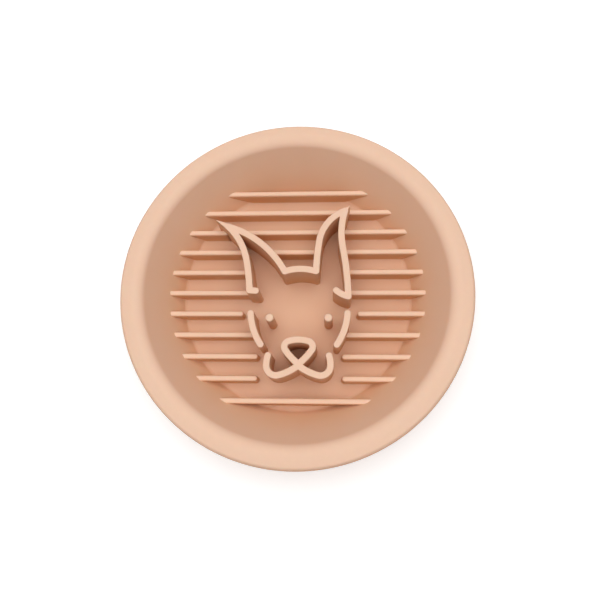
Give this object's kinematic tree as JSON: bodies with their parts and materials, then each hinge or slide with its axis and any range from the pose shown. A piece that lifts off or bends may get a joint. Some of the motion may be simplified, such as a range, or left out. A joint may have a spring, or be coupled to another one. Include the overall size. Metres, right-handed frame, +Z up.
{
  "type": "lick bowl",
  "caption": "Shallow round silicone lick bowl with parallel lick ribs, a raised line-drawn dog's face, a wide soft rim and a suction foot.",
  "frame": {"origin": "middle of the suction foot's underside, at table level", "axes": "+Z up out of the bowl, +Y towards the ears of the face, +X to the right seen from above"},
  "size_m": [0.15, 0.15, 0.0295],
  "materials": {
    "silicone": "matte"
  },
  "bodies": {
    "suction_base": {"suction_foot": "silicone"},
    "bowl": {"bowl_shell": "silicone", "cheek_left": "silicone", "cheek_right": "silicone", "eye_left": "silicone", "eye_right": "silicone", "face_outline": "silicone", "nose_and_mouth": "silicone", "rib_01": "silicone", "rib_02": "silicone", "rib_03_left": "silicone", "rib_03_middle": "silicone", "rib_03_right": "silicone", "rib_04_left": "silicone", "rib_04_middle": "silicone", "rib_04_right": "silicone", "rib_05_left": "silicone", "rib_05_right": "silicone", "rib_06_left": "silicone", "rib_06_right": "silicone", "rib_07_left": "silicone", "rib_07_right": "silicone", "rib_08_left": "silicone", "rib_08_right": "silicone", "rib_09_left": "silicone", "rib_09_right": "silicone", "rib_10_left": "silicone", "rib_10_right": "silicone", "rib_11": "silicone"}
  },
  "joints": [
    {"name": "suction_press", "type": "slide", "parent": "suction_base", "child": "bowl", "axis": [0, 0, 1], "range_m": [-0.002, 0], "stiffness_N_per_m": 8000, "springref_m": 0.0005, "deforming": ["suction_foot"]}
  ]
}
